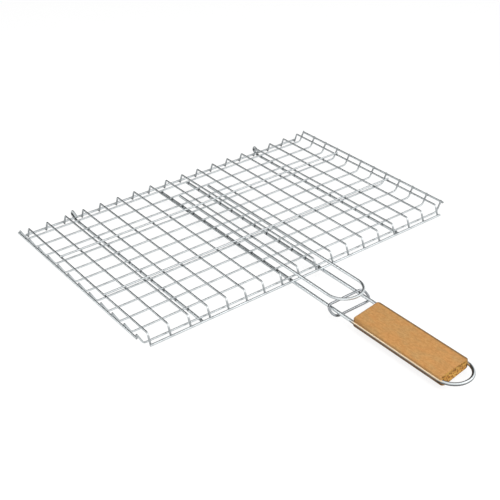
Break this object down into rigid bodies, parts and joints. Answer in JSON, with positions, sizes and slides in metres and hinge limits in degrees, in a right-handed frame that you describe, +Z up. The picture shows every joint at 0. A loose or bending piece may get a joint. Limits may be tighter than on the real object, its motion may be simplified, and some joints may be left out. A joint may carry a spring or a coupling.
{
  "type": "grill basket",
  "caption": "Flat wire grill basket with a hinged wire lid, a closing loop, a sliding clasp ring on the handle and a wooden grip with a hanging loop.",
  "frame": {"origin": "on the ground under the middle of the whole object, level with the wooden grip's underside", "axes": "+X along the basket's long side to the right as seen from the handle, +Y from the handle to the hinge at the back, +Z up through the lid"},
  "size_m": [0.4034, 0.4774, 0.0214],
  "materials": {
    "grid_wire": "bright plated steel wire",
    "heavy_wire": "bright plated steel wire",
    "wood": "oiled light wood with a fine straight grain"
  },
  "bodies": {
    "tray": {"tray_wire_01": "grid_wire", "tray_wire_02": "grid_wire", "tray_wire_03": "grid_wire", "tray_wire_04": "grid_wire", "tray_wire_05": "grid_wire", "tray_wire_06": "grid_wire", "tray_wire_07": "grid_wire", "tray_wire_08": "grid_wire", "tray_wire_09": "grid_wire", "tray_wire_10": "grid_wire", "tray_wire_11": "grid_wire", "tray_wire_12": "grid_wire", "tray_rim_left": "grid_wire", "tray_rim_right": "grid_wire", "hinge_rail_left": "heavy_wire", "hinge_rail_right": "heavy_wire", "handle_wire": "heavy_wire", "wood_grip": "wood"},
    "lid": {"lid_wire_01": "grid_wire", "lid_wire_02": "grid_wire", "lid_wire_03": "grid_wire", "lid_wire_04": "grid_wire", "lid_wire_05": "grid_wire", "lid_wire_06": "grid_wire", "lid_wire_07": "grid_wire", "lid_wire_08": "grid_wire", "lid_wire_09": "grid_wire", "lid_wire_10": "grid_wire", "lid_wire_11": "grid_wire", "lid_wire_12": "grid_wire", "lid_wire_13": "grid_wire", "lid_wire_14": "grid_wire", "lid_wire_15": "grid_wire", "lid_wire_16": "grid_wire", "lid_wire_17": "grid_wire", "lid_wire_18": "grid_wire", "lid_bar_rear": "grid_wire", "lid_bar_front": "grid_wire", "lid_frame_front": "grid_wire", "lid_hinge_rod": "grid_wire", "lid_loop": "heavy_wire"},
    "clasp": {"clasp_ring": "heavy_wire"}
  },
  "joints": [
    {"name": "lid_hinge", "type": "hinge", "parent": "tray", "child": "lid", "pos_m": [0, 0.22935, 0.00805], "axis": [-1, 0, 0], "range_deg": [0, 180]},
    {"name": "clasp_slide", "type": "slide", "parent": "tray", "child": "clasp", "axis": [0, 1, 0], "range_m": [-0.012, 0.0505]}
  ]
}
